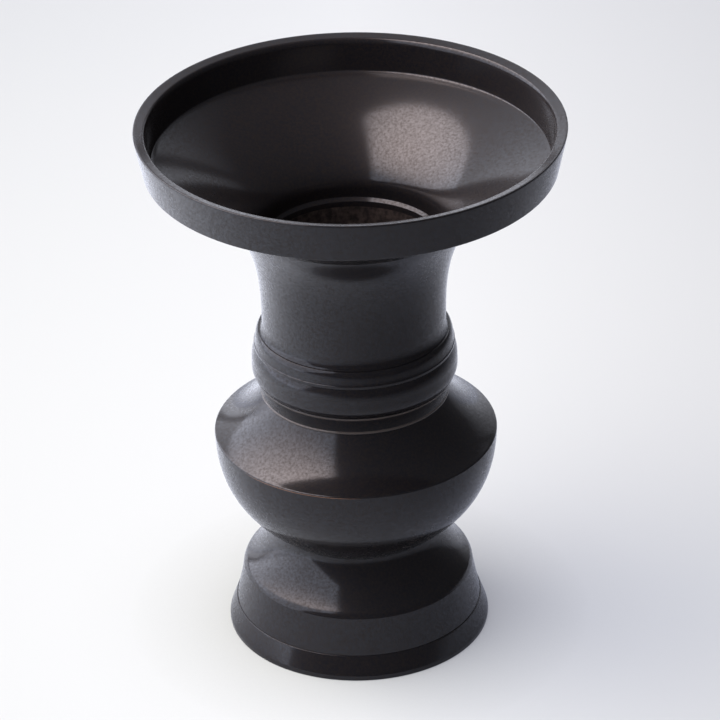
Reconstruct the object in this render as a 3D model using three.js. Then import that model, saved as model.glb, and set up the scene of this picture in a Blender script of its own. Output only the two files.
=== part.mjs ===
// Footed flower vase with a wide flared dish, of brass under a dark brown lacquer.
// Ten turned pieces stand on one axis: ring, foot, bowl of the belly, shoulder, collar, neck and dish.
// Millimetres, +Z up, the foot ring stands on z = 0 with its centre at the origin.
import * as THREE from 'three';
import { mergeVertices } from 'three/addons/utils/BufferGeometryUtils.js';

// Height over all; the flare of the neck takes what the other levels leave of it
const VASE_HEIGHT = 150;
// Facets round the axis, the same on every piece so that walls that slide together stay parallel
const FACETS = 56;
// Play between a spigot and the socket round it
const FIT_CLEARANCE = 0.25;

// Foot ring: a low conical ring with a lip that the foot slips over
const BASE_RADIUS = 35.7;
const RING_HEIGHT = 6.6;
const RING_EDGE = 1.1;
const RING_TAPER = 2.0;
const RING_WIDTH = 7.1;
const RING_LIP_HEIGHT = 3.0;

// Foot: a flaring skirt under a domed top, hollow and open underneath
const SKIRT_REVEAL = 0.2;
const SKIRT_HEIGHT = 10.35;
const SKIRT_TAPER = 1.8;
const DOME_HEIGHT = 12.5;
const WAIST_RADIUS = 20.8;
const FOOT_WALL = 2.6;
const CROWN_THICKNESS = 3.5;

// Fastening of the foot: a threaded stud under the belly with a round nut and a washer inside the foot
const STUD_RADIUS = 9.0;
const STUD_LENGTH = 13.0;
const WASHER_THICKNESS = 1.2;
const WASHER_RIM = 8.0;
const NUT_HEIGHT = 5.0;
const NUT_RIM = 5.5;
const NUT_CHAMFER = 0.8;

// Belly: a bowl that swells from the waist to the widest edge
const BELLY_HEIGHT = 29.7;
const BELLY_SWELL = 17.4;
const BELLY_WALL = 2.8;
const BELLY_FLOOR = 3.8;

// Shoulder: a hollow cone that closes the belly and carries the collar
const SHOULDER_HEIGHT = 11.95;
const SHOULDER_EDGE = 0.6;
const SHOULDER_LIP_DEPTH = 3.0;
const SHOULDER_LIP_WALL = 2.0;
const SOCKET_DEPTH = 4.3;
const SHOULDER_HEAD_OVER = 0.4;

// Collar band: a sleeve that draws in downwards between two fine beads
const BAND_HEIGHT = 5.6;
const BAND_FOOT_OVER = 0.75;
const BAND_HEAD_OVER = 1.9;
const BAND_BEAD = 0.5;
const BAND_BEAD_RELIEF = 0.2;

// Collar ring: a quirk, a round torus, a fine square ridge and a slope that runs in to the neck
const QUIRK_HEIGHT = 0.5;
const QUIRK_DEPTH = 0.6;
const TORUS_HEIGHT = 8.4;
const TORUS_OVER = 2.3;
const TORUS_BULGE = 0.65;
const TORUS_BELLY = 0.57;
const RIDGE_HEIGHT = 1.0;
const RIDGE_OVER = 2.3;
const RIDGE_STEP = 0.15;
const SLOPE_HEIGHT = 4.15;
const CREASE_OVER = 0.1;

// Neck: a tube that spreads a little at its foot, flares to the dish and seats it on a cone, with a thinner
// stem down through the collar
const NECK_RADIUS = 24.63;
const NECK_FOOT_FLARE = 0.5;
const NECK_FOOT_HEIGHT = 4.25;
const NECK_FLARE = 7.2;
const NECK_WALL = 2.6;
const NECK_LIP = 1.6;
const STEM_SEAT = 2.4;
const STEM_WALL = 2.0;
const SEAT_DROP = 1.0;
const SOCKET_TAPER = 4.1;
const THROAT_EDGE = 0.9;
const THROAT_LAND = 2.6;

// Dish: a trumpet-shaped bowl with a tapered spigot, a ledge and a leaning rim band
const SPIGOT_DEPTH = 7.2;
const SPIGOT_WALL = 1.8;
const DISH_RISE = 12.85;
const RIM_HEIGHT = 11.0;
const RIM_RADIUS = 56.8;
const RIM_LEAN = 2.3;
const RIM_WALL = 3.4;
const RIM_INNER_LEAN = 0.8;
const RIM_ROUND = 0.6;
const RIM_CHAMFER = 1.0;
const LEDGE_WIDTH = 1.0;
const BOWL_DEPTH_BELOW_RIM = 10.3;

// A closed outline of radius and height, drawn anticlockwise from its first point
class Outline {
  constructor(radius, height) {
    this.points = [new THREE.Vector2(radius, height)];
  }

  to(radius, height) {
    this.points.push(new THREE.Vector2(radius, height));
    return this;
  }

  // A round stretch that leaves and arrives along two directions, in degrees from the outward radius
  bend(radius, height, { leave, arrive, steps, pull = 0.36, grip = pull }) {
    const start = this.points.at(-1);
    const end = new THREE.Vector2(radius, height);
    const reach = start.distanceTo(end);
    const along = (degrees) => {
      const angle = THREE.MathUtils.degToRad(degrees);
      return new THREE.Vector2(Math.cos(angle), Math.sin(angle));
    };
    const first = start.clone().addScaledVector(along(leave), reach * pull);
    const second = end.clone().addScaledVector(along(arrive), -reach * grip);
    const curve = new THREE.CubicBezierCurve(start, first, second, end);
    this.points.push(...curve.getPoints(steps).slice(1));
    return this;
  }
}

// Turns an outline round the vertical axis into one closed body
function turned(name, outline, finish) {
  const onAxis = outline.points[0].x === 0;
  const profile = onAxis ? outline.points : [...outline.points, outline.points[0]];
  const lathe = new THREE.LatheGeometry(profile, FACETS);
  lathe.deleteAttribute('normal');
  lathe.deleteAttribute('uv');
  lathe.rotateX(Math.PI / 2);
  const geometry = mergeVertices(lathe, 1e-4);
  geometry.computeVertexNormals();
  const mesh = new THREE.Mesh(geometry, finish.clone());
  mesh.name = name;
  return mesh;
}

// Levels, from the table upwards
const ringTop = RING_HEIGHT;
const skirtTop = ringTop + SKIRT_HEIGHT;
const waist = skirtTop + DOME_HEIGHT;
const equator = waist + BELLY_HEIGHT;
const shoulderTop = equator + SHOULDER_HEIGHT;
const bandTop = shoulderTop + BAND_HEIGHT;
const torusFoot = bandTop + QUIRK_HEIGHT;
const torusTop = torusFoot + TORUS_HEIGHT;
const ridgeTop = torusTop + RIDGE_HEIGHT;
const collarTop = ridgeTop + SLOPE_HEIGHT;
const flareFoot = collarTop + NECK_FOOT_HEIGHT;
const rimTop = VASE_HEIGHT;
const rimFoot = rimTop - RIM_HEIGHT;
const dishSeat = rimFoot - DISH_RISE;

// Fits between the pieces
const skirtFootRadius = BASE_RADIUS - RING_TAPER - SKIRT_REVEAL;
const skirtBoreRadius = skirtFootRadius - FOOT_WALL;
const studHoleRadius = STUD_RADIUS + FIT_CLEARANCE;
const equatorRadius = WAIST_RADIUS + BELLY_SWELL;
const bellyMouthRadius = equatorRadius - BELLY_WALL;
const stemRadius = NECK_RADIUS - STEM_SEAT;
const stemBoreRadius = stemRadius - STEM_WALL;
const collarBoreRadius = stemRadius + FIT_CLEARANCE;
const neckFootRadius = NECK_RADIUS + NECK_FOOT_FLARE;
const flareRadius = NECK_RADIUS + NECK_FLARE;
const socketMouthRadius = flareRadius - NECK_LIP;
const socketFloorRadius = socketMouthRadius - SOCKET_TAPER;
const spigotFoot = dishSeat - SPIGOT_DEPTH;
const throatRadius = socketFloorRadius - FIT_CLEARANCE - SPIGOT_WALL;
const seatSlope = SEAT_DROP / NECK_LIP;

const lacquered = new THREE.MeshStandardMaterial({ color: '#1f1915', roughness: 0.35, metalness: 0.75 });
const bareBrass = new THREE.MeshStandardMaterial({ color: '#b5924c', roughness: 0.4, metalness: 1.0 });

function footRing() {
  const lipRadius = skirtBoreRadius - FIT_CLEARANCE;
  const boreRadius = BASE_RADIUS - RING_WIDTH;
  const outline = new Outline(boreRadius, 0)
    .to(BASE_RADIUS, 0)
    .to(BASE_RADIUS, RING_EDGE)
    .to(BASE_RADIUS - RING_TAPER, ringTop)
    .to(lipRadius, ringTop)
    .to(lipRadius, ringTop + RING_LIP_HEIGHT)
    .to(boreRadius, ringTop + RING_LIP_HEIGHT);
  return turned('foot_ring', outline, lacquered);
}

function foot() {
  const skirtTopRadius = skirtFootRadius - SKIRT_TAPER;
  const crownUnderside = waist - CROWN_THICKNESS;
  const outline = new Outline(skirtBoreRadius, ringTop)
    .to(skirtFootRadius, ringTop)
    .bend(skirtTopRadius, skirtTop, { leave: 102, arrive: 97.5, steps: 3 })
    .bend(WAIST_RADIUS, waist, { leave: 122, arrive: 147, steps: 5, pull: 0.24 })
    .to(studHoleRadius, waist)
    .to(studHoleRadius, crownUnderside)
    .to(WAIST_RADIUS - CROWN_THICKNESS / 2, crownUnderside)
    .to(skirtTopRadius - FOOT_WALL, skirtTop - FOOT_WALL / 2)
    .to(skirtBoreRadius, ringTop + RING_LIP_HEIGHT + FIT_CLEARANCE);
  return turned('foot', outline, lacquered);
}

function footWasher() {
  const top = waist - CROWN_THICKNESS;
  const outline = new Outline(studHoleRadius, top - WASHER_THICKNESS)
    .to(studHoleRadius + WASHER_RIM, top - WASHER_THICKNESS)
    .to(studHoleRadius + WASHER_RIM, top)
    .to(studHoleRadius, top);
  return turned('foot_washer', outline, bareBrass);
}

function footNut() {
  const top = waist - CROWN_THICKNESS - WASHER_THICKNESS;
  const outline = new Outline(studHoleRadius, top - NUT_HEIGHT)
    .to(studHoleRadius + NUT_RIM - NUT_CHAMFER, top - NUT_HEIGHT)
    .to(studHoleRadius + NUT_RIM, top - NUT_HEIGHT + NUT_CHAMFER)
    .to(studHoleRadius + NUT_RIM, top)
    .to(studHoleRadius, top);
  return turned('foot_nut', outline, bareBrass);
}

function belly() {
  const floorRadius = WAIST_RADIUS - BELLY_FLOOR;
  const outline = new Outline(0, waist - STUD_LENGTH)
    .to(STUD_RADIUS, waist - STUD_LENGTH)
    .to(STUD_RADIUS, waist)
    .to(WAIST_RADIUS, waist)
    .bend(equatorRadius, equator, { leave: 33.5, arrive: 89, steps: 8, pull: 0.4 })
    .to(bellyMouthRadius, equator)
    .to(bellyMouthRadius, equator - BELLY_WALL)
    .bend(floorRadius, waist + BELLY_FLOOR, { leave: 269, arrive: 213, steps: 6, pull: 0.4 })
    .to(0, waist + BELLY_FLOOR);
  return turned('belly', outline, lacquered);
}

function shoulder() {
  const headRadius = NECK_RADIUS + SHOULDER_HEAD_OVER;
  const lipRadius = bellyMouthRadius - FIT_CLEARANCE;
  const edge = { radius: equatorRadius - SHOULDER_EDGE, level: equator + SHOULDER_EDGE * 1.3 };
  const socketFoot = shoulderTop - SOCKET_DEPTH;
  const outline = new Outline(lipRadius, equator - SHOULDER_LIP_DEPTH)
    .to(lipRadius, equator)
    .to(equatorRadius, equator)
    .bend(edge.radius, edge.level, { leave: 95, arrive: 156, steps: 2 })
    .bend(headRadius, shoulderTop, { leave: 156, arrive: 123, steps: 6, grip: 0.33 })
    .to(collarBoreRadius, shoulderTop)
    .to(collarBoreRadius, socketFoot)
    .bend(lipRadius - SHOULDER_LIP_WALL, equator, { leave: -38, arrive: -44, steps: 2 })
    .to(lipRadius - SHOULDER_LIP_WALL, equator - SHOULDER_LIP_DEPTH);
  return turned('shoulder', outline, lacquered);
}

function collarBand() {
  const footRadius = NECK_RADIUS + BAND_FOOT_OVER;
  const headRadius = NECK_RADIUS + BAND_HEAD_OVER;
  const outline = new Outline(collarBoreRadius, shoulderTop)
    .to(footRadius, shoulderTop)
    .to(footRadius, shoulderTop + BAND_BEAD)
    .to(footRadius - BAND_BEAD_RELIEF, shoulderTop + BAND_BEAD + BAND_BEAD_RELIEF)
    .to(headRadius - BAND_BEAD_RELIEF, bandTop - BAND_BEAD - BAND_BEAD_RELIEF)
    .to(headRadius, bandTop - BAND_BEAD)
    .to(headRadius, bandTop)
    .to(collarBoreRadius, bandTop);
  return turned('collar_band', outline, lacquered);
}

function collarRing() {
  const torusRadius = NECK_RADIUS + TORUS_OVER;
  const bulgeRadius = torusRadius + TORUS_BULGE;
  const quirkRadius = torusRadius - QUIRK_DEPTH;
  const ridgeRadius = NECK_RADIUS + RIDGE_OVER;
  const outline = new Outline(collarBoreRadius, bandTop)
    .to(quirkRadius, bandTop)
    .to(quirkRadius, torusFoot)
    .bend(bulgeRadius, torusFoot + TORUS_HEIGHT * TORUS_BELLY, { leave: 55, arrive: 90, steps: 3 })
    .bend(ridgeRadius - RIDGE_STEP, torusTop, { leave: 90, arrive: 111, steps: 3 })
    .to(ridgeRadius, torusTop + RIDGE_STEP)
    .to(ridgeRadius, ridgeTop - RIDGE_STEP)
    .to(ridgeRadius - RIDGE_STEP, ridgeTop)
    .bend(neckFootRadius + CREASE_OVER, collarTop, { leave: 104, arrive: 127, steps: 3 })
    .to(collarBoreRadius, collarTop);
  return turned('collar_ring', outline, lacquered);
}

function neck() {
  const stemFoot = shoulderTop - SOCKET_DEPTH;
  const throatEdge = spigotFoot - THROAT_LAND;
  const boreRadius = NECK_RADIUS - NECK_WALL;
  const outline = new Outline(stemBoreRadius, stemFoot)
    .to(stemRadius, stemFoot)
    .to(stemRadius, collarTop)
    .to(neckFootRadius, collarTop)
    .bend(NECK_RADIUS, flareFoot, { leave: 112, arrive: 90, steps: 2 })
    .bend(flareRadius, dishSeat, { leave: 90, arrive: 62.8, steps: 7, pull: 0.45, grip: 0.31 })
    .to(socketMouthRadius, dishSeat - SEAT_DROP)
    .to(socketFloorRadius, spigotFoot)
    .to(throatRadius, spigotFoot)
    .to(throatRadius, throatEdge)
    .to(throatRadius - THROAT_EDGE, throatEdge - THROAT_EDGE)
    .bend(boreRadius, flareFoot, { leave: 266, arrive: 270, steps: 2 })
    .to(boreRadius, collarTop + NECK_WALL / 2)
    .to(stemBoreRadius, collarTop - NECK_WALL / 2);
  return turned('neck', outline, lacquered);
}

function dish() {
  const rimFootRadius = RIM_RADIUS - RIM_LEAN;
  const rimWallTop = RIM_RADIUS - RIM_WALL;
  const ledgeRadius = rimWallTop - RIM_INNER_LEAN;
  const bowlTop = rimTop - BOWL_DEPTH_BELOW_RIM;
  const outline = new Outline(throatRadius, spigotFoot)
    .to(socketFloorRadius - FIT_CLEARANCE, spigotFoot)
    .to(socketMouthRadius - FIT_CLEARANCE, dishSeat - SEAT_DROP - FIT_CLEARANCE * seatSlope)
    .to(flareRadius, dishSeat)
    .to(rimFootRadius, rimFoot)
    .to(RIM_RADIUS, rimTop - RIM_ROUND)
    .to(RIM_RADIUS - RIM_ROUND, rimTop)
    .to(rimWallTop + RIM_CHAMFER / 2, rimTop - RIM_ROUND)
    .to(rimWallTop, rimTop - RIM_ROUND - RIM_CHAMFER)
    .to(ledgeRadius, bowlTop + RIM_CHAMFER / 2)
    .to(ledgeRadius - LEDGE_WIDTH, bowlTop)
    .bend(throatRadius, spigotFoot, { leave: 203, arrive: 269, steps: 8, pull: 0.3, grip: 0.21 });
  outline.points.pop();
  return turned('dish', outline, lacquered);
}

const group = new THREE.Group();
group.add(
  footRing(),
  foot(),
  footWasher(),
  footNut(),
  belly(),
  shoulder(),
  collarBand(),
  collarRing(),
  neck(),
  dish(),
);

export default group;
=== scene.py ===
"""Footed flower vase of dark lacquered brass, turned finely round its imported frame.

Blender works in metres, the piece classes in millimetres, +Z is up and the vase stands on z = 0.
"""

import logging
import math
from dataclasses import dataclass, field
from enum import Enum

import bpy
from mathutils import Matrix, Vector


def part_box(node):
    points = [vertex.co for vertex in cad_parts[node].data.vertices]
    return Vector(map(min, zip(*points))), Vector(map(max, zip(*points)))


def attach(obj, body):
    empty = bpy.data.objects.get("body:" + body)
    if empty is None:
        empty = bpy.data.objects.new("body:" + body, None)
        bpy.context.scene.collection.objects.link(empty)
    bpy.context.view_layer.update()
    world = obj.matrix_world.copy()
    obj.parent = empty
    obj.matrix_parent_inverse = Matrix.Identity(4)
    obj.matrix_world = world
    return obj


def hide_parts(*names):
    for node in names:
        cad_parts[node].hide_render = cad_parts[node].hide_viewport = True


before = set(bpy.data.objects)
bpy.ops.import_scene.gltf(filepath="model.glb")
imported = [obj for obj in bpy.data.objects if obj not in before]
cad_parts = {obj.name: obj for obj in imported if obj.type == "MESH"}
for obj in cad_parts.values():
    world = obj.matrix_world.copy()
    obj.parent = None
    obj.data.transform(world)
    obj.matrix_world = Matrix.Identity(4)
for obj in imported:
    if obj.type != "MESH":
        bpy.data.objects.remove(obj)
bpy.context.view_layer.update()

LOG = logging.getLogger("vase")
MM = 0.001
BODY = "root"

Colour = tuple[float, float, float]
Place = tuple[float, float, float]
Range = tuple[float, float]
Material = bpy.types.Material
Mesh = bpy.types.Mesh
Node = bpy.types.Node
Socket = bpy.types.NodeSocket
Source = bpy.types.Node | bpy.types.NodeSocket


class Slot(Enum):
    """The material slots that the pieces belong in; each piece logs its own and takes its finish from
    the workshop.
    """

    DARK_LACQUER = "dark_lacquer"
    BARE_BRASS = "bare_brass"


class Surface(Enum):
    """How a stretch of a piece is finished, as the number that its mesh carries."""

    TURNED = 0.0
    CAST = 1.0


@dataclass(frozen=True)
class Reach:
    """How far a CAD node reaches, in millimetres."""

    radius: float
    foot: float
    top: float

    @classmethod
    def of(cls, node: str) -> "Reach":
        """Returns a CAD node's largest radius, lowest level and highest level."""
        low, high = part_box(node)
        return cls(high.x / MM, low.z / MM, high.z / MM)


def reach_of(node: str) -> Reach:
    """Returns a dataclass field that holds how far a CAD node reaches."""
    return field(default_factory=lambda: Reach.of(node))


@dataclass(frozen=True)
class Corner:
    """A corner of an outline, how far its edge is eased back, and the finish that starts there."""

    place: Vector
    ease: float
    surface: Surface


@dataclass
class Profile:
    """A turned outline of radius and height in millimetres, drawn anticlockwise."""

    corners: list[Corner] = field(default_factory=list)
    surface: Surface = Surface.TURNED
    ease_steps: int = 5
    ease_limit: float = 0.45
    hold: float = 0.3
    longest_plain: float = 1.6

    def to(self, radius: float, height: float, ease: float = 0.0) -> "Profile":
        """Adds a straight stretch up to an edge rounded back by its ease, and returns the profile."""
        self.corners.append(Corner(Vector((radius, height)), ease, self.surface))
        return self

    def bend(
        self,
        radius: float,
        height: float,
        leave: float,
        arrive: float,
        pull: float = 0.36,
        grip: float | None = None,
        steps: int = 24,
        ease: float = 0.0,
    ) -> "Profile":
        """Adds a round stretch.

        Args:
            radius: Where the stretch ends, from the axis.
            height: Where the stretch ends, from the table.
            leave: Direction at its start, in degrees from the outward radius.
            arrive: Direction at its end, in degrees from the outward radius.
            pull: How strongly it holds its first direction, as a share of its length.
            grip: How strongly it holds its last direction; the same as pull when left out.
            steps: How many short facets make the curve.
            ease: How far the edge at its end is rounded back.

        Returns:
            The profile itself, so that stretches can be chained.
        """
        start = self.corners[-1].place
        end = Vector((radius, height))
        reach = (end - start).length
        first = start + compass(leave) * reach * pull
        second = end - compass(arrive) * reach * (pull if grip is None else grip)
        for step in range(1, steps):
            share = step / steps
            rest = 1 - share
            place = (
                start * rest**3
                + first * 3 * rest**2 * share
                + second * 3 * rest * share**2
                + end * share**3
            )
            self.corners.append(Corner(place, 0.0, self.surface))
        return self.to(radius, height, ease)

    def finished(self, surface: Surface) -> "Profile":
        """Sets the finish of the corners that follow, and returns the profile."""
        self.surface = surface
        return self

    @property
    def closed(self) -> bool:
        """Whether the outline closes on itself, and not on the axis."""
        return self.corners[0].place.x > 0

    def traced(self) -> list[Corner]:
        """Rounds the eased edges and holds the flats beside them.

        Returns:
            The corners of the finished outline, none of which has an ease of its own.
        """
        count = len(self.corners)
        rounded: list[Corner] = []
        for index, corner in enumerate(self.corners):
            before = self.corners[index - 1]
            after = self.corners[(index + 1) % count]
            rounded.extend(self._eased(before, corner, after))
        pairs = list(zip(rounded, rounded[1:]))
        if self.closed:
            pairs.append((rounded[-1], rounded[0]))
        held: list[Corner] = []
        for start, end in pairs:
            held.extend(self._held(start, end))
        if not self.closed:
            held.append(rounded[-1])
        return held

    def _eased(self, before: Corner, corner: Corner, after: Corner) -> list[Corner]:
        """Turns one corner into a short arc.

        Args:
            before: The corner before it.
            corner: The corner to round.
            after: The corner after it.

        Returns:
            The corners of the arc, or the corner alone where it has no ease.
        """
        if corner.ease == 0:
            return [corner]
        back = before.place - corner.place
        ahead = after.place - corner.place
        reach = min(corner.ease, self.ease_limit * back.length, self.ease_limit * ahead.length)
        start = corner.place + back.normalized() * reach
        end = corner.place + ahead.normalized() * reach
        arc = []
        for step in range(self.ease_steps + 1):
            share = step / self.ease_steps
            rest = 1 - share
            place = start * rest**2 + corner.place * 2 * rest * share + end * share**2
            arc.append(Corner(place, 0.0, corner.surface))
        return arc

    def _held(self, start: Corner, end: Corner) -> list[Corner]:
        """Adds a corner near each end of a long flat, so that its shading stays flat.

        Args:
            start: The corner where the flat begins.
            end: The corner where the flat ends.

        Returns:
            The start and the corners added after it.
        """
        run = end.place - start.place
        if run.length < self.longest_plain:
            return [start]
        step = run.normalized() * self.hold
        near = Corner(start.place + step, 0.0, start.surface)
        far = Corner(end.place - step, 0.0, end.surface)
        return [start, near, far]


def compass(degrees: float) -> Vector:
    """Returns the unit direction at an angle from the outward radius."""
    angle = math.radians(degrees)
    return Vector((math.cos(angle), math.sin(angle)))


@dataclass(frozen=True)
class Speckle:
    """A random pattern: how fine it is, how many finer layers it has and how strong these are."""

    scale: float
    detail: float
    roughness: float


@dataclass
class NodeSketch:
    """Adds and joins the nodes of one tree, where a node stands for the first of its outputs."""

    tree: bpy.types.NodeTree

    def add(self, kind: str, *given: object, **values: object) -> Node:
        """Adds a node.

        Args:
            kind: The node's type name in Blender.
            given: What its first inputs get, in their order.
            values: Its properties by name, or its inputs by name with blanks as underscores.

        Returns:
            The new node.
        """
        node = self.tree.nodes.new(kind)
        named = {}
        for name, value in values.items():
            if name in node.bl_rna.properties:
                setattr(node, name, value)
            else:
                named[name] = value
        self.fill(node, **named)
        for socket, value in zip(node.inputs, given):
            self._give(socket, value)
        return node

    def fill(self, node: Node, **values: object) -> None:
        """Gives a node's inputs what they take.

        Args:
            node: The node.
            values: What each input gets, by name with blanks as underscores.
        """
        inputs = {socket.name.replace(" ", "_"): socket for socket in node.inputs if socket.enabled}
        for name, value in values.items():
            self._give(inputs[name], value)

    def _give(self, target: Socket, value: object) -> None:
        """Links an input, or sets it.

        Args:
            target: The input.
            value: A node or an output to link it to, or a plain number, colour or place.
        """
        if isinstance(value, Node):
            value = next(socket for socket in value.outputs if socket.enabled)
        if isinstance(value, Socket):
            self.tree.links.new(value, target)
        elif target.type == "RGBA":
            target.default_value = (*value, 1)
        else:
            target.default_value = value

    def place(self) -> Socket:
        """Returns the piece's own coordinates."""
        return self.add("ShaderNodeTexCoord").outputs["Object"]

    def axis(self, place: Source, name: str) -> Socket:
        """Returns one coordinate of a place."""
        return self.add("ShaderNodeSeparateXYZ", place).outputs[name]

    def along(self, place: Source, direction: Place | Vector) -> Node:
        """Returns how far a place lies in a direction, from the origin."""
        return self.add("ShaderNodeVectorMath", place, direction, operation="DOT_PRODUCT")

    def speckle(self, place: Source, pattern: Speckle) -> Node:
        """Returns a random pattern on the given coordinates."""
        return self.add("ShaderNodeTexNoise", Vector=place, Scale=pattern.scale,
                        Detail=pattern.detail, Roughness=pattern.roughness)

    def relief(self, height: Source, strength: float, depth: float) -> Node:
        """Returns the surface's direction under a fine relief that is so many millimetres deep."""
        return self.add("ShaderNodeBump", Strength=strength, Distance=depth * MM, Height=height)

    def steps(self, value: Source, *steps: tuple) -> Source:
        """Works a number through steps.

        Args:
            value: The number to start from.
            steps: An operation each, and what it takes besides the number.

        Returns:
            The number after the last step.
        """
        for operation, *taken in steps:
            value = self.add("ShaderNodeMath", value, *taken, operation=operation)
        return value

    def ramp(self, value: Source, low: float, high: float,
             start: float = 0.0, end: float = 1.0, shape: str = "LINEAR") -> Node:
        """Returns a number that goes from start to end while the given one goes from low to high."""
        return self.add("ShaderNodeMapRange", interpolation_type=shape,
                        Value=value, From_Min=low, From_Max=high, To_Min=start, To_Max=end)

    def blend(self, share: Source, first: Colour | Source, second: Colour | Source) -> Node:
        """Returns a mix of two colours, where share is how much it has of the second."""
        return self.add("ShaderNodeMix", data_type="RGBA", Factor=share, A=first, B=second)

    def times(self, first: Colour | Source, second: Source) -> Node:
        """Returns the product of two colours."""
        return self.add("ShaderNodeVectorMath", first, second, operation="MULTIPLY")

    def scaled(self, colour: Colour | Source, share: Source) -> Node:
        """Returns a colour made darker or brighter."""
        return self.add("ShaderNodeVectorMath", colour, operation="SCALE", Scale=share)

    def show(self, lit: Source, seen: Source, output: str) -> None:
        """Gives the rays that look at a surface another shader than those that only carry light.

        Args:
            lit: The shader for rays that only carry light.
            seen: The shader for rays from the camera and through gloss or glass.
            output: The name of the tree's output node.
        """
        path = self.add("ShaderNodeLightPath").outputs
        others = (path["Is Glossy Ray"], path["Is Transmission Ray"])
        direct = self.steps(path["Is Camera Ray"], *(("MAXIMUM", ray) for ray in others))
        self.fill(self.tree.nodes[output], Surface=self.add("ShaderNodeMixShader", direct, lit, seen))


def put_in_scene(name: str, data: bpy.types.ID) -> bpy.types.Object:
    """Puts something in the scene at the origin.

    Args:
        name: The object's name.
        data: Its mesh, lamp or camera.

    Returns:
        The object.
    """
    thing = bpy.data.objects.new(name, data)
    bpy.context.scene.collection.objects.link(thing)
    return thing


@dataclass
class Lathe:
    """Turns profiles into solid pieces with one Geometry Nodes tree."""

    facets: int = 224
    spindle_radius: float = 30.0
    crease_angle: float = math.radians(32)
    merge_distance: float = 0.0001
    wholly_cast: float = 0.9
    tree: bpy.types.NodeTree = field(init=False)

    def __post_init__(self) -> None:
        """Builds the tree that every piece is turned with."""
        self.tree = bpy.data.node_groups.new("turned_on_the_lathe", "GeometryNodeTree")
        self._add_sockets()
        self._add_nodes()

    def _add_sockets(self) -> None:
        """Gives the tree its named inputs and its output."""
        sockets = {
            "Profile": "Geometry",
            "Facets": "Int",
            "Spindle Radius": "Float",
            "Crease Angle": "Float",
            "Merge Distance": "Float",
            "Turned Finish": "Material",
            "Cast Finish": "Material",
        }
        for name, kind in sockets.items():
            self.tree.interface.new_socket(name, in_out="INPUT", socket_type="NodeSocket" + kind)
        self.tree.interface.new_socket("Solid", in_out="OUTPUT", socket_type="NodeSocketGeometry")

    def _add_nodes(self) -> None:
        """Sweeps the profile round a circle, welds it, smooths it and gives it its finishes."""
        add = NodeSketch(self.tree).add
        given = add("NodeGroupInput").outputs
        outline = add("GeometryNodeMeshToCurve", Mesh=given["Profile"])
        circle = add("GeometryNodeCurvePrimitiveCircle",
                     Resolution=given["Facets"], Radius=given["Spindle Radius"])
        sweep = add("GeometryNodeCurveToMesh", Curve=circle, Profile_Curve=outline)
        weld = add("GeometryNodeMergeByDistance", Geometry=sweep, Distance=given["Merge Distance"])
        outward = add("GeometryNodeFlipFaces", Mesh=weld)
        smooth = add("GeometryNodeSetShadeSmooth", domain="FACE", Geometry=outward, Shade_Smooth=True)
        sharp = self._above(add("GeometryNodeInputMeshEdgeAngle"), given["Crease Angle"])
        crease = add("GeometryNodeSetShadeSmooth", domain="EDGE",
                     Geometry=smooth, Selection=sharp, Shade_Smooth=False)
        real = add("GeometryNodeRealizeInstances", Geometry=crease)
        lacquer = add("GeometryNodeSetMaterial", Geometry=real, Material=given["Turned Finish"])
        surface = add("GeometryNodeInputNamedAttribute", data_type="FLOAT", Name="cast")
        wholly = self._above(surface, self.wholly_cast)
        cast = add("GeometryNodeSetMaterial",
                   Geometry=lacquer, Selection=wholly, Material=given["Cast Finish"])
        add("NodeGroupOutput", Solid=cast)

    def _above(self, number: Source, limit: Source | float) -> Node:
        """Returns whether a number is above a limit."""
        return NodeSketch(self.tree).add("FunctionNodeCompare", data_type="FLOAT",
                                         operation="GREATER_THAN", A=number, B=limit)

    def turn(self, name: str, profile: Profile, turned: Material, cast: Material) -> bpy.types.Object:
        """Turns one piece.

        Args:
            name: The piece's name.
            profile: Its outline.
            turned: The finish of the surfaces that the lathe cut.
            cast: The finish of the surfaces left as they were cast.

        Returns:
            The piece as a plain mesh object at the origin.
        """
        piece = put_in_scene(name, self._blank(name, profile))
        modifier = piece.modifiers.new("lathe", "NODES")
        modifier.node_group = self.tree
        values = {
            "Facets": self.facets,
            "Spindle Radius": self.spindle_radius * MM,
            "Crease Angle": self.crease_angle,
            "Merge Distance": self.merge_distance * MM,
            "Turned Finish": turned,
            "Cast Finish": cast,
        }
        for item in self.tree.interface.items_tree:
            if item.in_out == "INPUT" and item.name in values:
                modifier[item.identifier] = values[item.name]
        depsgraph = bpy.context.evaluated_depsgraph_get()
        solid = bpy.data.meshes.new_from_object(piece.evaluated_get(depsgraph))
        solid.name = name
        piece.modifiers.clear()
        piece.data = solid
        return piece

    def _blank(self, name: str, profile: Profile) -> Mesh:
        """Draws a profile as a chain of edges beside the spindle.

        Args:
            name: The name of the piece.
            profile: The outline to draw.

        Returns:
            A mesh of edges that carries the finish of each corner.
        """
        corners = profile.traced()
        places = [((c.place.x - self.spindle_radius) * MM, -c.place.y * MM, 0.0) for c in corners]
        edges = [(index, index + 1) for index in range(len(corners) - 1)]
        if profile.closed:
            edges.append((len(corners) - 1, 0))
        blank = bpy.data.meshes.new(name + "_outline")
        blank.from_pydata(places, edges, [])
        surface = blank.attributes.new("cast", "FLOAT", "POINT")
        surface.data.foreach_set("value", [c.surface.value for c in corners])
        return blank


def new_finish(name: str) -> tuple[Material, NodeSketch, Node]:
    """Starts a material.

    Args:
        name: The material's name.

    Returns:
        The material, a sketch of its nodes and its main shader.
    """
    material = bpy.data.materials.new(name)
    material.use_nodes = True
    return material, NodeSketch(material.node_tree), material.node_tree.nodes["Principled BSDF"]


@dataclass(frozen=True)
class WearAndHighlightLine:
    """A line at one level where the stain is rubbed down to lighter metal, all round or on one side; on
    one side only, it is also a painted highlight where the lamp catches the edge.
    """

    level: float
    reach: float
    colour: Colour
    side: Place | None = None
    side_fade_from: float = 34.0
    bare_at: float = 37.0


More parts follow.
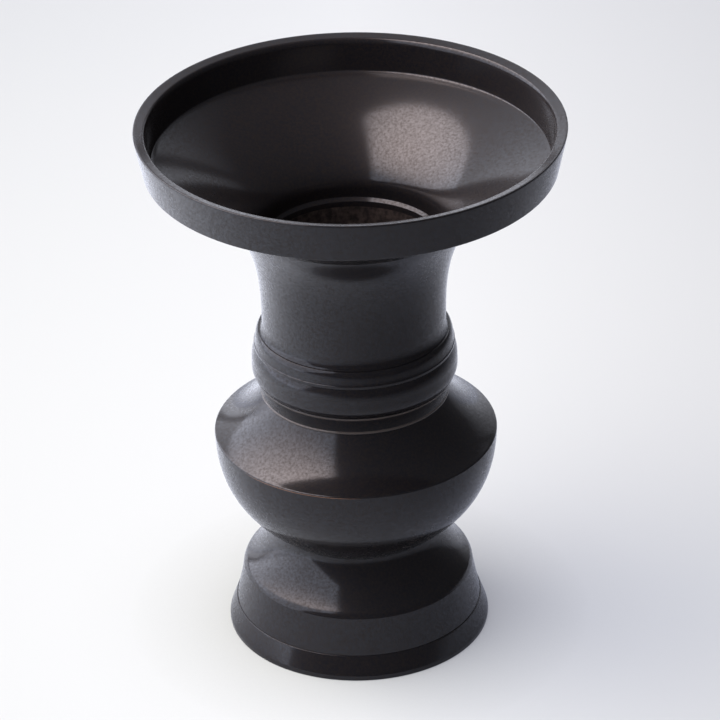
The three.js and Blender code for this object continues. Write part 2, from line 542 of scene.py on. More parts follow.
@dataclass(frozen=True)
class DarkLacquer:
    """Near-black brown stain on brass under a clear satin coat, with a warm grain in its gloss."""

    name: str
    wear_and_highlight_lines: tuple[WearAndHighlightLine, ...] = ()
    stain: Colour = (0.0070, 0.0074, 0.0098)
    warm_stain: Colour = (0.0155, 0.0125, 0.0108)
    warm_gloss: Colour = (1.0, 0.86, 0.74)
    gloss_level: float = 0.06
    metal_share: float = 0.15
    thinnest_coat: float = 0.42
    coat_roughness: float = 0.13
    coat_ior: float = 1.43
    grain: Speckle = Speckle(1500.0, 5.0, 0.62)
    grain_band: Range = (0.38, 0.66)
    grain_strength: float = 0.25
    grain_depth: float = 0.012
    cloud: Speckle = Speckle(70.0, 3.0, 0.5)
    cloud_band: Range = (0.3, 0.7)
    roughness: Range = (0.36, 0.48)

    def build(self) -> Material:
        """Builds the finish.

        Returns:
            The material, with its patterns on the piece's own coordinates.
        """
        material, sketch, shader = new_finish(self.name)
        place = sketch.place()
        grain = sketch.speckle(place, self.grain)
        cloud = sketch.speckle(place, self.cloud)
        spread = sketch.ramp(grain, *self.grain_band)
        colour = sketch.blend(spread, self.stain, self.warm_stain)
        for edge in self.wear_and_highlight_lines:
            colour = self._paint_wear_and_highlight(sketch, place, colour, edge)
        sketch.fill(
            shader,
            Base_Color=colour,
            Metallic=self.metal_share,
            Roughness=sketch.ramp(cloud, *self.cloud_band, *self.roughness),
            Normal=sketch.relief(grain, self.grain_strength, self.grain_depth),
            Specular_IOR_Level=self.gloss_level,
            Specular_Tint=self.warm_gloss,
            Coat_Weight=sketch.ramp(spread, 0.0, 1.0, start=1.0, end=self.thinnest_coat),
            Coat_Roughness=self.coat_roughness,
            Coat_IOR=self.coat_ior,
        )
        return material

    def _paint_wear_and_highlight(self, sketch: NodeSketch, place: Source, colour: Source, edge: WearAndHighlightLine) -> Node:
        """Mixes lighter metal into a colour along a line, as wear and as painted highlight.

        Args:
            sketch: The material's nodes.
            place: The piece's own coordinates.
            colour: The colour away from the line.
            edge: The line of wear and painted highlight.

        Returns:
            The mixed colour.
        """
        level = sketch.axis(place, "Z")
        away = sketch.steps(level, ("SUBTRACT", edge.level * MM), ("ABSOLUTE",))
        wear_and_highlight = sketch.ramp(away, 0.0, edge.reach * MM, start=1.0, end=0.0)
        # On one side only, the line is painted where the lamp's highlight falls, so there it is painted
        # highlight as well as wear.
        if edge.side:
            towards = sketch.along(place, edge.side)
            on_lamp_side = sketch.ramp(towards, edge.side_fade_from * MM, edge.bare_at * MM)
            wear_and_highlight = sketch.steps(wear_and_highlight, ("MULTIPLY", on_lamp_side))
        return sketch.blend(wear_and_highlight, colour, edge.colour)


@dataclass(frozen=True)
class CastSurface:
    """Dark grainy metal left as it was cast."""

    name: str = "dark_cast_brass"
    hollow: Colour = (0.016, 0.012, 0.011)
    crest: Colour = (0.075, 0.056, 0.047)
    metal_share: float = 0.55
    roughness: float = 0.62
    grain: Speckle = Speckle(620.0, 4.0, 0.6)
    grain_band: Range = (0.38, 0.68)
    grain_strength: float = 0.8
    grain_depth: float = 0.16

    def build(self) -> Material:
        """Builds the finish.

        Returns:
            The material.
        """
        material, sketch, shader = new_finish(self.name)
        grain = sketch.speckle(sketch.place(), self.grain)
        spread = sketch.ramp(grain, *self.grain_band)
        sketch.fill(
            shader,
            Base_Color=sketch.blend(spread, self.hollow, self.crest),
            Metallic=self.metal_share,
            Roughness=self.roughness,
            Normal=sketch.relief(grain, self.grain_strength, self.grain_depth),
        )
        return material


@dataclass(frozen=True)
class BareBrass:
    """Dull turned brass with fine tool rings and brown tarnish in patches."""

    name: str = "dull_turned_brass"
    metal: Colour = (0.62, 0.45, 0.20)
    tarnish: Colour = (0.20, 0.125, 0.055)
    metal_share: float = 1.0
    roughness: Range = (0.34, 0.58)
    patches: Speckle = Speckle(130.0, 5.0, 0.6)
    patch_band: Range = (0.42, 0.68)
    ring_scale: float = 380.0
    ring_waver: float = 0.4
    ring_detail: float = 2.0
    ring_strength: float = 0.4
    ring_depth: float = 0.02

    def build(self) -> Material:
        """Builds the finish.

        Returns:
            The material.
        """
        material, sketch, shader = new_finish(self.name)
        place = sketch.place()
        rings = sketch.add("ShaderNodeTexWave", wave_type="RINGS", rings_direction="Z", Vector=place,
                           Scale=self.ring_scale, Distortion=self.ring_waver, Detail=self.ring_detail)
        patches = sketch.speckle(place, self.patches)
        spread = sketch.ramp(patches, *self.patch_band)
        sketch.fill(
            shader,
            Base_Color=sketch.blend(spread, self.metal, self.tarnish),
            Metallic=self.metal_share,
            Roughness=sketch.ramp(patches, 0.0, 1.0, *self.roughness),
            Normal=sketch.relief(rings.outputs["Fac"], self.ring_strength, self.ring_depth),
        )
        return material


@dataclass
class Workshop:
    """The lathe and the finishes that all the pieces share."""

    lathe: Lathe = field(default_factory=Lathe)
    lacquer: Material = field(init=False)
    cast: Material = field(init=False)
    brass: Material = field(init=False)

    def __post_init__(self) -> None:
        """Mixes the shared finishes."""
        self.lacquer = DarkLacquer("dark_lacquer").build()
        self.cast = CastSurface().build()
        self.brass = BareBrass().build()


@dataclass
class TurnedPiece:
    """One piece of the vase, which stands for the CAD node of the same sub-part."""

    node: str
    profile: Profile
    finish: Material
    slot: Slot = Slot.DARK_LACQUER
    solid: bpy.types.Object | None = None

    def build(self, workshop: Workshop) -> None:
        """Turns the piece on the workshop's lathe."""
        self.solid = workshop.lathe.turn("turned_" + self.node, self.profile, self.finish, workshop.cast)

    def dress(self) -> None:
        """Puts the piece on its body, in the place of its CAD node."""
        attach(self.solid, BODY)
        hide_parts(self.node)
        faces = len(self.solid.data.polygons)
        LOG.info("%s: %d faces, %s", self.solid.name, faces, self.slot.value)


@dataclass
class PieceGroup:
    """Neighbouring pieces of the vase, with the sizes that more than one group goes by."""

    fit: float = 0.25
    stem_bore: float = 22.48
    neck_radius: float = 24.63
    neck_foot_flare: float = 0.5
    pieces: list[TurnedPiece] = field(init=False, default_factory=list)

    def drawn(self, workshop: Workshop) -> list[TurnedPiece]:
        """Returns the group's pieces, each with its outline and its finish."""
        raise NotImplementedError

    def build(self, workshop: Workshop) -> None:
        """Turns the pieces of the group.

        Args:
            workshop: The lathe and the shared finishes.
        """
        self.pieces = self.drawn(workshop)
        for piece in self.pieces:
            piece.build(workshop)

    def dress(self) -> None:
        """Puts the pieces of the group on their body."""
        for piece in self.pieces:
            piece.dress()


@dataclass
class FootGroup(PieceGroup):
    """The conical ring, the hollow foot, and the washer and nut that hold it."""

    ring: Reach = reach_of("foot_ring")
    foot: Reach = reach_of("foot")
    washer: Reach = reach_of("foot_washer")
    nut: Reach = reach_of("foot_nut")
    ring_edge: float = 1.1
    ring_taper: float = 2.0
    ring_width: float = 7.1
    skirt_height: float = 10.4
    skirt_taper: float = 2.05
    brow_radius: float = 30.4
    brow_height: float = 18.75
    waist_radius: float = 23.0
    waist_rise: float = 1.25
    wall: float = 2.6
    crown: float = 3.5
    stud_hole: float = 9.25
    nut_chamfer: float = 0.8

    @property
    def waist(self) -> float:
        """The level at which the belly sits on the foot."""
        return self.foot.top + self.waist_rise

    @property
    def skirt_bore(self) -> float:
        """The radius inside the foot's skirt."""
        return self.foot.radius - self.wall

    def ring_profile(self) -> Profile:
        """Draws the ring that stands on the table.

        Returns:
            Its outline.
        """
        ring, seam = self.ring, self.foot.foot
        bore = ring.radius - self.ring_width
        lip = self.skirt_bore - self.fit
        return (
            Profile()
            .to(bore, ring.foot, ease=0.4)
            .to(ring.radius, ring.foot, ease=0.25)
            .to(ring.radius, self.ring_edge, ease=0.3)
            .to(ring.radius - self.ring_taper, seam, ease=0.12)
            .to(lip, seam, ease=0.1)
            .to(lip, ring.top, ease=0.3)
            .to(bore, ring.top, ease=0.5)
        )

    def foot_profile(self) -> Profile:
        """Draws the foot.

        Returns:
            The outline of its skirt, its trumpet-shaped top and the hollow under them.
        """
        skirt_top_radius = self.foot.radius - self.skirt_taper
        skirt_top = self.foot.foot + self.skirt_height
        crown_underside = self.foot.top - self.crown
        return (
            Profile()
            .to(self.skirt_bore, self.foot.foot, ease=0.15)
            .to(self.foot.radius, self.foot.foot, ease=0.1)
            .bend(skirt_top_radius, skirt_top, leave=102, arrive=97.5, ease=0.35)
            .bend(self.brow_radius, self.brow_height, leave=112, arrive=141, steps=12)
            .bend(self.waist_radius, self.waist, leave=141, arrive=96, pull=0.3, grip=0.25, steps=30)
            .to(self.stud_hole, self.waist, ease=0.2)
            .to(self.stud_hole, crown_underside, ease=0.2)
            .finished(Surface.CAST)
            .to(self.waist_radius - self.crown / 2, crown_underside, ease=1.2)
            .to(skirt_top_radius - self.wall, skirt_top - self.wall / 2, ease=1.5)
            .to(self.skirt_bore, self.ring.top + self.fit, ease=0.4)
        )

    def washer_profile(self) -> Profile:
        """Draws the washer under the foot's crown.

        Returns:
            Its outline.
        """
        washer = self.washer
        return (
            Profile()
            .to(self.stud_hole, washer.foot, ease=0.12)
            .to(washer.radius, washer.foot, ease=0.25)
            .to(washer.radius, washer.top, ease=0.15)
            .to(self.stud_hole, washer.top, ease=0.1)
        )

    def nut_profile(self) -> Profile:
        """Draws the round nut on the stud.

        Returns:
            Its outline.
        """
        nut = self.nut
        return (
            Profile()
            .to(self.stud_hole, nut.foot, ease=0.3)
            .to(nut.radius - self.nut_chamfer, nut.foot, ease=0.15)
            .to(nut.radius, nut.foot + self.nut_chamfer, ease=0.15)
            .to(nut.radius, nut.top, ease=0.15)
            .to(self.stud_hole, nut.top, ease=0.1)
        )

    def drawn(self, workshop: Workshop) -> list[TurnedPiece]:
        """Draws the four pieces.

        Args:
            workshop: The lathe and the shared finishes.

        Returns:
            The ring, the foot, the nut and the washer.
        """
        return [
            TurnedPiece("foot_ring", self.ring_profile(), workshop.lacquer),
            TurnedPiece("foot", self.foot_profile(), workshop.lacquer),
            TurnedPiece("foot_nut", self.nut_profile(), workshop.brass, Slot.BARE_BRASS),
            TurnedPiece("foot_washer", self.washer_profile(), workshop.brass, Slot.BARE_BRASS),
        ]


@dataclass
class BellyGroup(PieceGroup):
    """The bowl of the belly with its floor and stud, and the shoulder that closes it."""

    belly: Reach = reach_of("belly")
    shoulder: Reach = reach_of("shoulder")
    neck: Reach = reach_of("neck")
    foot: FootGroup = field(default_factory=FootGroup)
    floor_radius: float = 17.0
    stud_radius: float = 9.0
    wall: float = 2.8
    floor: float = 3.8
    edge: float = 0.35
    edge_steepness: float = 1.3
    head_radius: float = 25.03
    lip_wall: float = 2.0
    wear_and_highlight_reach: float = 0.11
    # The copper line is painted only on this front-left side, where the lamp's highlight falls on the
    # edge: wear and painted highlight.
    painted_highlight_side: Place = (-0.42, -0.91, 0.0)
    copper_wear_and_highlight: Colour = (0.24, 0.125, 0.07)

    @property
    def mouth(self) -> float:
        """The radius inside the belly's mouth."""
        return self.belly.radius - self.wall

    @property
    def floor_top(self) -> float:
        """The level of the floor inside the belly."""
        return self.foot.foot.top + self.floor

    def belly_profile(self) -> Profile:
        """Draws the belly.

        Returns:
            Its outline, from the end of its stud round to the middle of its floor.
        """
        return (
            Profile()
            .to(0, self.belly.foot)
            .to(self.stud_radius, self.belly.foot, ease=0.7)
            .to(self.stud_radius, self.foot.waist, ease=0.2)
            .to(self.foot.waist_radius, self.foot.waist)
            .bend(self.belly.radius, self.belly.top, leave=37.0, arrive=89, pull=0.4, steps=40)
            .to(self.mouth, self.belly.top)
            .to(self.mouth, self.belly.top - self.wall, ease=0.2)
            .finished(Surface.CAST)
            .bend(self.floor_radius, self.floor_top, leave=269, arrive=213, pull=0.4, steps=20, ease=0.8)
            .to(0, self.floor_top)
        )

    def shoulder_profile(self) -> Profile:
        """Draws the hollow cone over the belly.

        Returns:
            Its outline.
        """
        lip = self.mouth - self.fit
        inside = lip - self.lip_wall
        return (
            Profile()
            .to(lip, self.shoulder.foot, ease=0.3)
            .to(lip, self.belly.top)
            .to(self.shoulder.radius, self.belly.top)
            .bend(self.shoulder.radius - self.edge, self.belly.top + self.edge * self.edge_steepness,
                  leave=95, arrive=156, steps=8)
            .bend(self.head_radius, self.shoulder.top, leave=156, arrive=123, grip=0.33, steps=32)
            .to(self.stem_bore, self.shoulder.top)
            .to(self.stem_bore, self.neck.foot, ease=0.2)
            .finished(Surface.CAST)
            .bend(inside, self.belly.top, leave=-38, arrive=-44, steps=10)
            .to(inside, self.shoulder.foot, ease=0.3)
        )

    def drawn(self, workshop: Workshop) -> list[TurnedPiece]:
        """Draws the two pieces, which share a copper line at the widest edge: rubbed metal, painted on
        the lamp's side only, where it is also a painted highlight.

        Args:
            workshop: The lathe and the shared finishes.

        Returns:
            The belly and the shoulder.
        """
        # Copper line at the widest edge: wear, and painted highlight on the lamp's side.
        line = WearAndHighlightLine(self.belly.top, self.wear_and_highlight_reach, self.copper_wear_and_highlight, self.painted_highlight_side)
        wear_and_highlight = DarkLacquer("dark_lacquer_worn_edge", (line,)).build()
        return [
            TurnedPiece("belly", self.belly_profile(), wear_and_highlight),
            TurnedPiece("shoulder", self.shoulder_profile(), wear_and_highlight),
        ]


@dataclass
class CollarGroup(PieceGroup):
    """The beaded sleeve, and the torus with its ridge and slope."""

    band: Reach = reach_of("collar_band")
    ring: Reach = reach_of("collar_ring")
    band_foot_over: float = 0.75
    bead: float = 0.5
    bead_relief: float = 0.2
    # Lighter brown painted round each bead: wear, and a painted highlight for the beads' edges.
    bead_wear_and_highlight: Colour = (0.075, 0.062, 0.052)
    quirk_height: float = 0.35
    quirk_depth: float = 1.0
    torus_over: float = 2.3
    torus_height: float = 8.55
    torus_belly: float = 0.57
    ridge_over: float = 2.3
    ridge_height: float = 1.0
    ridge_step: float = 0.15
    crease_over: float = 0.6
    crease_ledge: float = 0.4
    crease_drop: float = 0.4

    def band_profile(self) -> Profile:
        """Draws the sleeve, which narrows downwards between two fine beads.

        Returns:
            Its outline.
        """
        band, bead, relief = self.band, self.bead, self.bead_relief
        foot_radius = self.neck_radius + self.band_foot_over
        return (
            Profile()
            .to(self.stem_bore, band.foot, ease=0.1)
            .to(foot_radius, band.foot, ease=0.2)
            .to(foot_radius, band.foot + bead, ease=0.22)
            .to(foot_radius - relief, band.foot + bead + relief, ease=0.2)
            .to(band.radius - relief, band.top - bead - relief, ease=0.2)
            .to(band.radius, band.top - bead, ease=0.22)
            .to(band.radius, band.top, ease=0.22)
            .to(self.stem_bore, band.top, ease=0.1)
        )

    def ring_profile(self) -> Profile:
        """Draws the torus, from the quirk under it up to the neck.

        Returns:
            Its outline.
        """
        torus_foot = self.band.top + self.quirk_height
        torus_top = torus_foot + self.torus_height
        torus_radius = self.neck_radius + self.torus_over
        quirk = torus_radius - self.quirk_depth
        ridge = self.neck_radius + self.ridge_over
        ridge_top = torus_top + self.ridge_height
        neck_foot = self.neck_radius + self.neck_foot_flare
        crease = neck_foot + self.crease_over
        crease_level = self.ring.top - self.crease_drop
        return (
            Profile()
            .to(self.stem_bore, self.band.top, ease=0.1)
            .to(quirk, self.band.top)
            .to(quirk, torus_foot)
            .to(torus_radius - self.ridge_step, torus_foot)
            .bend(self.ring.radius, torus_foot + self.torus_height * self.torus_belly,
                  leave=48, arrive=90, steps=20)
            .bend(ridge - self.ridge_step, torus_top, leave=90, arrive=111, steps=20)
            .to(ridge, torus_top + self.ridge_step, ease=0.05)
            .to(ridge, ridge_top - self.ridge_step, ease=0.1)
            .to(ridge - self.ridge_step, ridge_top, ease=0.05)
            .bend(crease, crease_level, leave=104, arrive=127, steps=14, ease=0.1)
            .to(crease - self.crease_ledge, crease_level)
            .to(neck_foot, self.ring.top)
            .to(self.stem_bore, self.ring.top, ease=0.1)
        )

    def drawn(self, workshop: Workshop) -> list[TurnedPiece]:
        """Draws the two pieces, with a lighter brown line painted all round each bead of the sleeve, as
        wear and as the beads' painted highlight.

        Args:
            workshop: The lathe and the shared finishes.

        Returns:
            The sleeve and the torus.
        """
        bead_levels = (self.band.foot + self.bead, self.band.top - self.bead)
        # Each bead line is wear and painted highlight.
        lines = tuple(WearAndHighlightLine(level, self.bead, self.bead_wear_and_highlight) for level in bead_levels)
        wear_and_highlight = DarkLacquer("dark_lacquer_rubbed_beads", lines).build()
        return [
            TurnedPiece("collar_band", self.band_profile(), wear_and_highlight),
            TurnedPiece("collar_ring", self.ring_profile(), workshop.lacquer),
        ]


@dataclass
class NeckAndDish(PieceGroup):
    """The flaring neck with its stem, and the dish with its tapered spigot and leaning rim."""

    neck: Reach = reach_of("neck")
    dish: Reach = reach_of("dish")
    collar: Reach = reach_of("collar_ring")
    neck_foot_height: float = 4.25
    flare_over: float = 1.0
    neck_wall: float = 2.6
    neck_lip: float = 1.6
    seat_drop: float = 1.0
    stem_radius: float = 22.23
    stem_wall: float = 2.0
    socket_taper: float = 4.1
    spigot_wall: float = 1.8
    throat_edge: float = 0.9
    throat_land: float = 2.6
    rim_foot: float = 139.0
    rim_lean: float = 2.3
    rim_wall: float = 3.4
    rim_inner_lean: float = 0.8
    rim_fall: float = 0.75
    rim_edge: float = 0.65
    rim_chamfer: float = 1.0
    ledge: float = 1.0
    bowl_depth: float = 10.3

    @property
    def socket_floor(self) -> float:
        """The radius at the floor of the neck's tapered socket."""
        return self.neck.radius - self.neck_lip - self.socket_taper

    @property
    def throat(self) -> float:
        """The radius of the turned throat."""
        return self.socket_floor - self.fit - self.spigot_wall

    def neck_profile(self) -> Profile:
        """Draws the neck.

        Returns:
            The outline of its stem, its flare, its throat edge and its cast bore.
        """
        neck, seam = self.neck, self.collar.top
        flare_foot = seam + self.neck_foot_height
        throat_edge = self.dish.foot - self.throat_land
        bore = self.neck_radius - self.neck_wall
        stem_bore = self.stem_radius - self.stem_wall
        return (
            Profile()
            .to(stem_bore, neck.foot, ease=0.3)
            .to(self.stem_radius, neck.foot, ease=0.3)
            .to(self.stem_radius, seam, ease=0.1)
            .to(self.neck_radius + self.neck_foot_flare, seam)
            .bend(self.neck_radius, flare_foot, leave=112, arrive=90, steps=10)
            .bend(neck.radius + self.flare_over, neck.top,
                  leave=90, arrive=62, pull=0.6, grip=0.25, steps=36)
            .to(neck.radius - self.neck_lip, neck.top - self.seat_drop, ease=0.15)
            .to(self.socket_floor, self.dish.foot, ease=0.2)
            .to(self.throat, self.dish.foot)
            .to(self.throat, throat_edge, ease=0.12)
            .to(self.throat - self.throat_edge, throat_edge - self.throat_edge, ease=0.15)
            .finished(Surface.CAST)
            .bend(bore, flare_foot, leave=266, arrive=270, steps=12)
            .to(bore, seam + self.neck_wall / 2, ease=1.0)
            .to(stem_bore, seam - self.neck_wall / 2, ease=1.0)
        )

    def dish_profile(self) -> Profile:
        """Draws the dish.

        Returns:
            The outline of its spigot, its rim band, its ledge and its bowl.
        """
        neck, dish, chamfer = self.neck, self.dish, self.rim_chamfer
        mouth = neck.radius - self.neck_lip
        seat_slope = self.seat_drop / self.neck_lip
        rim_inside = dish.radius - self.rim_wall
        ledge = rim_inside - self.rim_inner_lean
        bowl_top = dish.top - self.bowl_depth
        return (
            Profile()
            .to(self.socket_floor - self.fit, dish.foot, ease=0.2)
            .to(mouth - self.fit, neck.top - self.seat_drop - self.fit * seat_slope, ease=0.15)
            .to(neck.radius + self.flare_over, neck.top)
            .to(dish.radius - self.rim_lean, self.rim_foot, ease=0.18)
            .to(dish.radius, dish.top, ease=self.rim_edge)
            .to(rim_inside + chamfer / 2, dish.top - self.rim_fall, ease=0.4)
            .to(rim_inside, dish.top - self.rim_fall - chamfer, ease=0.5)
            .to(ledge, bowl_top + chamfer / 2, ease=0.3)
            .to(ledge - self.ledge, bowl_top, ease=0.25)
            .bend(self.throat, dish.foot, leave=203, arrive=269, pull=0.3, grip=0.21, steps=64)
        )

    def drawn(self, workshop: Workshop) -> list[TurnedPiece]:
        """Draws the two pieces.

        Args:
            workshop: The lathe and the shared finishes.

        Returns:
            The neck and the dish.
        """
        return [
            TurnedPiece("neck", self.neck_profile(), workshop.lacquer),
            TurnedPiece("dish", self.dish_profile(), workshop.lacquer),
        ]


@dataclass(frozen=True)
class SoftPanel:
    """A large soft lamp panel, given by its highest corner and its two edges, in metres."""

    name: str = "left_soft_panel"
    corner: Place = (-0.035, 0.062, 0.947)
    along: Place = (-0.295, -0.846, -0.443)
    across: Place = (-0.476, 0.510, -0.715)
    length: float = 0.945
    width: float = 1.095
    brightness: float = 2.1
    hot_spot: Place = (-0.215, 0.055, 0.670)
    hot_reach: float = 0.58
    hot_gain: float = 3.9
    soft_edge: float = 0.1
    colour: Colour = (0.93, 0.97, 1.15)
    hot_colour: Colour = (1.16, 0.99, 0.98)

    def build(self) -> None:
        """Hangs the lamp, which lights and shows in gloss but not to the camera."""
        along, across = Vector(self.along).normalized(), Vector(self.across).normalized()
        centre = Vector(self.corner) + along * self.length / 2 + across * self.width / 2
        lamp = bpy.data.lights.new(self.name, "AREA")
        lamp.shape = "RECTANGLE"
        lamp.size, lamp.size_y = self.width, self.length
        lamp.energy = self.brightness * math.pi * self.width * self.length
        self._brighten(lamp, across)
        panel = put_in_scene(self.name, lamp)
        back = across.cross(along).normalized()
        turn = Matrix((across, back.cross(across), back)).transposed()
        panel.matrix_world = Matrix.Translation(centre) @ turn.to_4x4()
        panel.visible_camera = False

    def _brighten(self, lamp: bpy.types.AreaLight, across: Vector) -> None:
        """Makes the panel's cloth brighter and warmer near the bulb behind it, and dim along one edge.

        Args:
            lamp: The lamp to give the cloth to.
            across: The direction in from the edge that is dim.
        """
        lamp.use_nodes = True
        sketch = NodeSketch(lamp.node_tree)
        place = sketch.add("ShaderNodeNewGeometry").outputs["Position"]
        away = sketch.add("ShaderNodeVectorMath", place, self.hot_spot, operation="DISTANCE")
        near = sketch.ramp(away, 0.0, self.hot_reach, start=1.0, end=0.0, shape="SMOOTHSTEP")
        hot = [share * self.hot_gain for share in self.hot_colour]
        cloth = sketch.blend(near, self.colour, hot)
        edge = Vector(self.corner).dot(across)
        inward = sketch.along(place, across)
        soft = sketch.ramp(inward, edge, edge + self.soft_edge, shape="SMOOTHSTEP")
        sketch.fill(lamp.node_tree.nodes["Emission"], Color=sketch.scaled(cloth, soft))


@dataclass(frozen=True)
class Camera:
    """The photograph's viewpoint, in millimetres and degrees."""

    distance: float = 1001.55
    height: float = 648.4
    pitch: float = 29.599
    roll: float = -1.039
    yaw: float = -0.082
    lens: float = 214.55
    sensor: float = 36.0
    nearest: float = 50.0
    farthest: float = 20000.0

    def build(self) -> None:
        """Sets up the camera."""
        pitch, roll, yaw = (math.radians(angle) for angle in (self.pitch, self.roll, self.yaw))
        flat = math.cos(pitch)
        forward = Vector((-math.sin(yaw) * flat, math.cos(yaw) * flat, -math.sin(pitch)))
        level = Vector((math.cos(yaw), math.sin(yaw), 0))
        upward = level.cross(forward)
        right = level * math.cos(roll) + upward * math.sin(roll)
        above = upward * math.cos(roll) - level * math.sin(roll)
        lens = bpy.data.cameras.new("photo_camera")
        lens.lens = self.lens
        lens.sensor_width = self.sensor
        lens.clip_start = self.nearest * MM
        lens.clip_end = self.farthest * MM
        camera = put_in_scene("photo_camera", lens)
        place = Matrix.Translation((0, -self.distance * MM, self.height * MM))
        camera.matrix_world = place @ Matrix((right, above, -forward)).transposed().to_4x4()
        bpy.context.scene.camera = camera


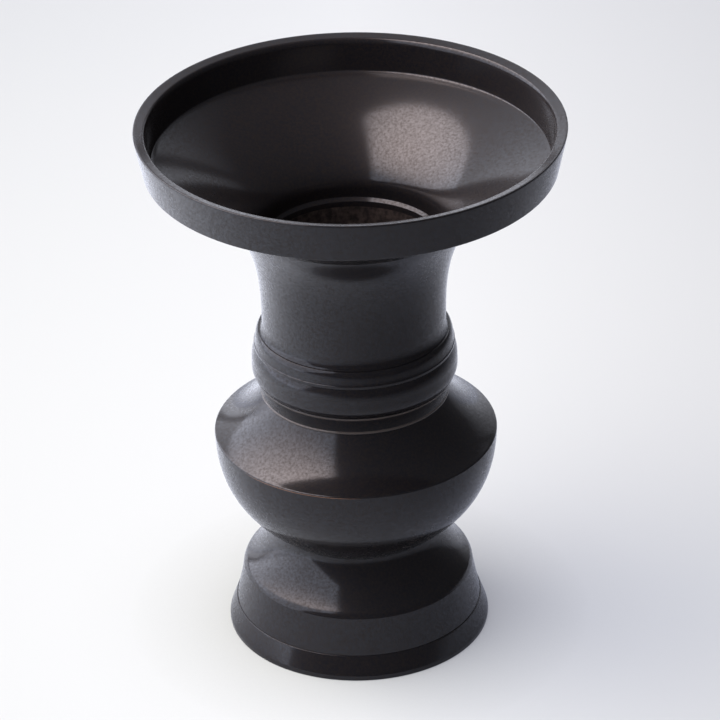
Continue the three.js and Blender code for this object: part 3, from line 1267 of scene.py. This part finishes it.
@dataclass
class Studio:
    """A pale table, dark drapes with a paler back, and one large soft panel at the left, in metres.

    In gloss, the table and the drapes are palest on the lamp's side; this fall-off of light is painted
    into their colours, as are a pool of light on the table for the camera and a painted shade round the
    vase's foot.
    """

    table_reach: float = 6.0
    table_colour: Colour = (0.80, 0.80, 0.81)
    table_roughness: float = 0.9
    table_gloss: float = 0.2
    table_glow: Colour = (0.505, 0.507, 0.585)
    table_shade: Colour = (0.307, 0.329, 0.272)
    painted_contact_shade_reach: float = 0.05
    painted_contact_shade_samples: int = 12
    table_edge: float = 0.14
    painted_side_falloff: float = -1.0
    painted_gloss_falloff: Place = (-2.9, 1.6, 0.0)
    painted_gloss_level: float = 0.88
    painted_gloss_cap: float = 1.5
    painted_reflection_tint: Colour = (0.96, 1.0, 1.12)
    backdrop: Colour = (0.93, 0.935, 0.95)
    ambient: Colour = (0.33, 0.34, 0.40)
    room_radius: float = 3.0
    room_rows: int = 24
    room_turns: int = 96
    painted_reflection_low: Colour = (0.045, 0.045, 0.052)
    painted_reflection_high: Colour = (0.125, 0.125, 0.14)
    painted_reflection_back: Colour = (1.60, 1.65, 1.85)
    back_side: Place = (-0.55, 0.84, 0.0)
    back_from: float = 0.18
    gap_lean: Place = (-0.3, 0.0, 1.0)
    gap_level: float = 0.98
    gap_reach: float = 0.16
    panel: SoftPanel = SoftPanel()

    def build(self) -> None:
        """Sets the table, the drapes, the lamp, the world and the camera."""
        self._table()
        self._room()
        self.panel.build()
        self._world()
        Camera().build()
        bpy.context.scene.view_settings.view_transform = "Standard"

    def _table(self) -> bpy.types.Object:
        """Lays the pale table top, with painted shade round the vase's foot and a painted fall-off of
        light.

        Returns:
            The table.
        """
        reach = self.table_reach
        mesh = bpy.data.meshes.new("pale_table")
        corners = [(-reach, -reach, 0), (reach, -reach, 0), (reach, reach, 0), (-reach, reach, 0)]
        mesh.from_pydata(corners, [], [range(4)])
        material, sketch, shader = new_finish("pale_table")
        sketch.fill(
            shader,
            Base_Color=self.table_colour,
            Roughness=self.table_roughness,
            Specular_IOR_Level=self.table_gloss,
        )
        # Painted contact shade: the table's glow is darkened near the vase.
        near = sketch.add("ShaderNodeAmbientOcclusion", samples=self.painted_contact_shade_samples,
                          Distance=self.painted_contact_shade_reach, Color=self.table_glow)
        painted_light_share = self._painted_falloff(sketch)
        glow = sketch.add("ShaderNodeEmission", Color=sketch.times(near, painted_light_share))
        shade = sketch.add("ShaderNodeBsdfDiffuse", Color=sketch.times(self.table_shade, painted_light_share))
        pale = sketch.add("ShaderNodeAddShader", glow, shade)
        sketch.show(shader, pale, "Material Output")
        mesh.materials.append(material)
        return put_in_scene("pale_table", mesh)

    def _painted_falloff(self, sketch: NodeSketch) -> Node:
        """Paints the table's fall-off of light: to both sides for the camera, and away from the lamp in
        gloss, where it is also tinted cooler.

        Args:
            sketch: The table's nodes.

        Returns:
            The colour that the table's look is multiplied by.
        """
        place = sketch.place()
        # Painted fall-off of light in gloss, brightest towards the lamp and capped.
        painted_gloss_share = sketch.steps(
            sketch.along(place, self.painted_gloss_falloff),
            ("EXPONENT",),
            ("MULTIPLY", self.painted_gloss_level),
            ("MINIMUM", self.painted_gloss_cap),
        )
        # Painted pool of light for the camera, falling off to both sides.
        seen = sketch.steps(
            sketch.axis(place, "X"),
            ("ABSOLUTE",),
            ("MINIMUM", self.table_edge),
            ("MULTIPLY", self.painted_side_falloff),
            ("EXPONENT",),
        )
        glossy = sketch.add("ShaderNodeLightPath").outputs["Is Glossy Ray"]
        return sketch.blend(glossy, seen, sketch.scaled(self.painted_reflection_tint, painted_gloss_share))

    def _room(self) -> bpy.types.Object:
        """Hangs drapes all round and above that glow in gloss only, a painted reflection of the room:
        dark low down, lighter higher up, and pale behind the vase on the lamp's side.

        Returns:
            The drapes, which show only in gloss.
        """
        mesh = self._dome("dark_drapes")
        material, sketch, shader = new_finish("dark_drapes")
        place = sketch.place()
        # Painted reflection: the glow is darker low down, lighter higher up and pale towards the lamp's
        # side behind the vase.
        lift = sketch.ramp(sketch.axis(place, "Z"), 0.0, self.room_radius)
        shade = sketch.blend(lift, self.painted_reflection_low, self.painted_reflection_high)
        behind = sketch.along(place, self.back_side)
        pale = sketch.ramp(behind, self.back_from * self.room_radius, self.room_radius)
        hung = sketch.steps(pale, ("MULTIPLY", self._gap(sketch, place)))
        sketch.fill(
            shader,
            Base_Color=(0.0, 0.0, 0.0),
            Emission_Color=sketch.blend(hung, shade, self.painted_reflection_back),
            Emission_Strength=1.0,
        )
        mesh.materials.append(material)
        drapes = put_in_scene("dark_drapes", mesh)
        for ray in ("camera", "diffuse", "shadow", "transmission"):
            setattr(drapes, "visible_" + ray, False)
        return drapes

    def _dome(self, name: str) -> Mesh:
        """Makes the half globe that the drapes hang on.

        Args:
            name: The name of its mesh.

        Returns:
            The mesh, open below.
        """
        rows, turns = self.room_rows, self.room_turns
        places = []
        for row in range(rows + 1):
            lift = math.pi / 2 * row / rows
            flat, height = self.room_radius * math.cos(lift), self.room_radius * math.sin(lift)
            for turn in range(turns):
                angle = 2 * math.pi * turn / turns
                places.append((flat * math.cos(angle), flat * math.sin(angle), height))
        faces = []
        for row in range(rows):
            for turn in range(turns):
                start, end = row * turns, (row + 1) * turns
                ahead = (turn + 1) % turns
                faces.append((start + turn, end + turn, end + ahead, start + ahead))
        mesh = bpy.data.meshes.new(name)
        mesh.from_pydata(places, [], faces)
        return mesh

    def _gap(self, sketch: NodeSketch, place: Source) -> Node:
        """Leaves a darker band low in the pale back of the painted reflection.

        Args:
            sketch: The drapes' nodes.
            place: The drapes' own coordinates.

        Returns:
            A number that is 0 in the middle of the gap and 1 off it.
        """
        level = sketch.along(place, self.gap_lean)
        offset = sketch.steps(level, ("SUBTRACT", self.gap_level), ("ABSOLUTE",))
        return sketch.ramp(offset, self.gap_reach / 2, self.gap_reach, shape="SMOOTHSTEP")

    def _world(self) -> None:
        """Gives the world a pale backdrop to look at and a dim cool light to work by."""
        world = bpy.data.worlds.new("studio_world")
        world.use_nodes = True
        bpy.context.scene.world = world
        sketch = NodeSketch(world.node_tree)
        shown = world.node_tree.nodes["Background"]
        sketch.fill(shown, Color=self.backdrop)
        dim = sketch.add("ShaderNodeBackground", Color=self.ambient)
        sketch.show(dim, shown, "World Output")


def main() -> None:
    """Turns and dresses the vase group by group, then sets the studio round it."""
    logging.basicConfig(level=logging.INFO, format="%(name)s: %(message)s")
    LOG.info("frame has %d nodes", len(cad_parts))
    workshop = Workshop()
    for group in (FootGroup(), BellyGroup(), CollarGroup(), NeckAndDish()):
        group.build(workshop)
        group.dress()
    Studio().build()


if __name__ == "__main__":
    main()
